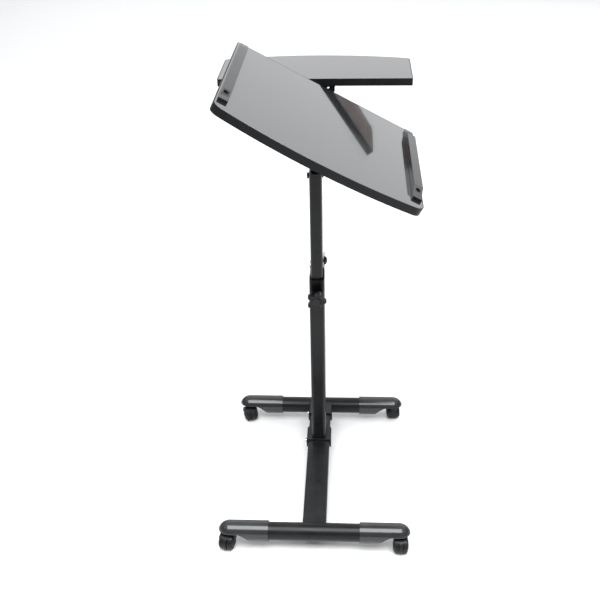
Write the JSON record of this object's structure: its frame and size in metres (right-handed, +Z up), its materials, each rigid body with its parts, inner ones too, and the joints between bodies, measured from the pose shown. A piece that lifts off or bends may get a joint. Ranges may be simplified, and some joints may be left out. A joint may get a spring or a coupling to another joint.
{
  "type": "drafting table",
  "caption": "Rolling split-top drafting table: black steel base on casters, telescoping mast, tilting glossy board with edge stops beside a narrow level board.",
  "frame": {"origin": "middle of the bounding box, on the floor", "axes": "+Z up; +X from the back to the front edge where the user works; +Y along the crossbar from the tilting board to the level board"},
  "size_m": [0.4054, 0.6342, 0.9555],
  "materials": {
    "black_steel": "satin black powder coat",
    "black_fastener": "black oxide",
    "bright_steel": "bright zinc plate",
    "black_plastic": "moulded black plastic",
    "cap_plastic": "smooth semi-gloss black plastic",
    "wheel_plastic": "black nylon",
    "gloss_board": "high-gloss black laminate on particle board",
    "edge_band": "black edge banding",
    "stop_plastic": "smooth black plastic"
  },
  "bodies": {
    "base": {"near_leg_tube": "black_steel", "far_leg_tube": "black_steel", "crossbar_tube": "black_steel", "mast_foot_bracket": "black_steel", "foot_trim_near": "black_plastic", "foot_trim_far": "black_plastic", "far_leg_bracket": "black_steel", "foot_bolt_near": "bright_steel", "foot_bolt_far": "bright_steel", "lower_mast_tube": "black_steel", "mast_bush": "black_plastic", "clamp_boss": "black_steel", "bush_spring_clip": "bright_steel", "guide_bolt": "black_fastener", "leg_cap_near_rear": "cap_plastic", "leg_cap_near_front": "cap_plastic", "leg_cap_far_rear": "cap_plastic", "leg_cap_far_front": "cap_plastic"},
    "caster_near_rear": {"caster_housing_near_rear": "black_plastic"},
    "wheels_near_rear": {"caster_wheels_near_rear": "wheel_plastic"},
    "caster_near_front": {"caster_housing_near_front": "black_plastic"},
    "wheels_near_front": {"caster_wheels_near_front": "wheel_plastic"},
    "caster_far_rear": {"caster_housing_far_rear": "black_plastic"},
    "wheels_far_rear": {"caster_wheels_far_rear": "wheel_plastic"},
    "caster_far_front": {"caster_housing_far_front": "black_plastic"},
    "wheels_far_front": {"caster_wheels_far_front": "wheel_plastic"},
    "height_knob": {"height_knob": "black_plastic"},
    "upper_mast": {"upper_mast_tube": "black_steel", "upper_tube_glide": "black_plastic", "tilt_head": "black_steel", "head_bolt": "black_fastener", "tilt_beam": "black_steel", "beam_end_plug": "black_plastic", "beam_nut_plug": "black_steel", "far_board": "gloss_board", "far_edge_band": "edge_band", "far_bracket_a": "black_steel", "far_bracket_a_screw_1": "black_fastener", "far_bracket_a_screw_2": "black_fastener", "far_bracket_b": "black_steel", "far_bracket_b_screw_1": "black_fastener", "far_bracket_b_screw_2": "black_fastener"},
    "tilt_knob": {"tilt_knob": "black_plastic"},
    "near_board": {"near_board": "gloss_board", "near_edge_band": "edge_band", "near_bracket_a": "black_steel", "near_bracket_a_screw_1": "black_fastener", "near_bracket_a_screw_2": "black_fastener", "near_bracket_b": "black_steel", "near_bracket_b_screw_1": "black_fastener", "near_bracket_b_screw_2": "black_fastener", "front_stop": "stop_plastic", "front_stop_screw_1": "black_fastener", "front_stop_screw_2": "black_fastener", "rear_stop": "stop_plastic", "rear_stop_screw_1": "black_fastener", "rear_stop_screw_2": "black_fastener"}
  },
  "joints": [
    {"name": "swivel_near_rear", "type": "hinge", "parent": "base", "child": "caster_near_rear", "pos_m": [-0.17724, -0.28892, 0.017], "axis": [0, 0, 1], "continuous": true},
    {"name": "roll_near_rear", "type": "hinge", "parent": "caster_near_rear", "child": "wheels_near_rear", "pos_m": [-0.17957, -0.29761, 0.017], "axis": [0.9659, -0.2588, 0], "continuous": true},
    {"name": "swivel_near_front", "type": "hinge", "parent": "base", "child": "caster_near_front", "pos_m": [0.18176, -0.28892, 0.017], "axis": [0, 0, 1], "continuous": true},
    {"name": "roll_near_front", "type": "hinge", "parent": "caster_near_front", "child": "wheels_near_front", "pos_m": [0.18176, -0.29792, 0.017], "axis": [1, 0, 0], "continuous": true},
    {"name": "swivel_far_rear", "type": "hinge", "parent": "base", "child": "caster_far_rear", "pos_m": [-0.17724, 0.15108, 0.017], "axis": [0, 0, 1], "continuous": true},
    {"name": "roll_far_rear", "type": "hinge", "parent": "caster_far_rear", "child": "wheels_far_rear", "pos_m": [-0.17343, 0.14293, 0.017], "axis": [0.9063, 0.4226, 0], "continuous": true},
    {"name": "swivel_far_front", "type": "hinge", "parent": "base", "child": "caster_far_front", "pos_m": [0.18176, 0.15108, 0.017], "axis": [0, 0, 1], "continuous": true},
    {"name": "roll_far_front", "type": "hinge", "parent": "caster_far_front", "child": "wheels_far_front", "pos_m": [0.18051, 0.16, 0.017], "axis": [-0.9903, -0.1392, 0], "continuous": true},
    {"name": "height_knob_turn", "type": "hinge", "parent": "base", "child": "height_knob", "pos_m": [0.00226, -0.01392, 0.441], "axis": [0, 1, 0], "range_deg": [0, 540]},
    {"name": "mast_height", "type": "slide", "parent": "base", "child": "upper_mast", "axis": [0, 0, 1], "range_m": [-0.155, 0.1]},
    {"name": "tilt_knob_turn", "type": "hinge", "parent": "upper_mast", "child": "tilt_knob", "pos_m": [0.00226, -0.09892, 0.812], "axis": [0, 1, 0], "range_deg": [0, 540]},
    {"name": "board_tilt", "type": "hinge", "parent": "upper_mast", "child": "near_board", "pos_m": [0.00226, -0.06892, 0.812], "axis": [0, 1, 0], "range_deg": [-28.46, 46.54]}
  ]
}
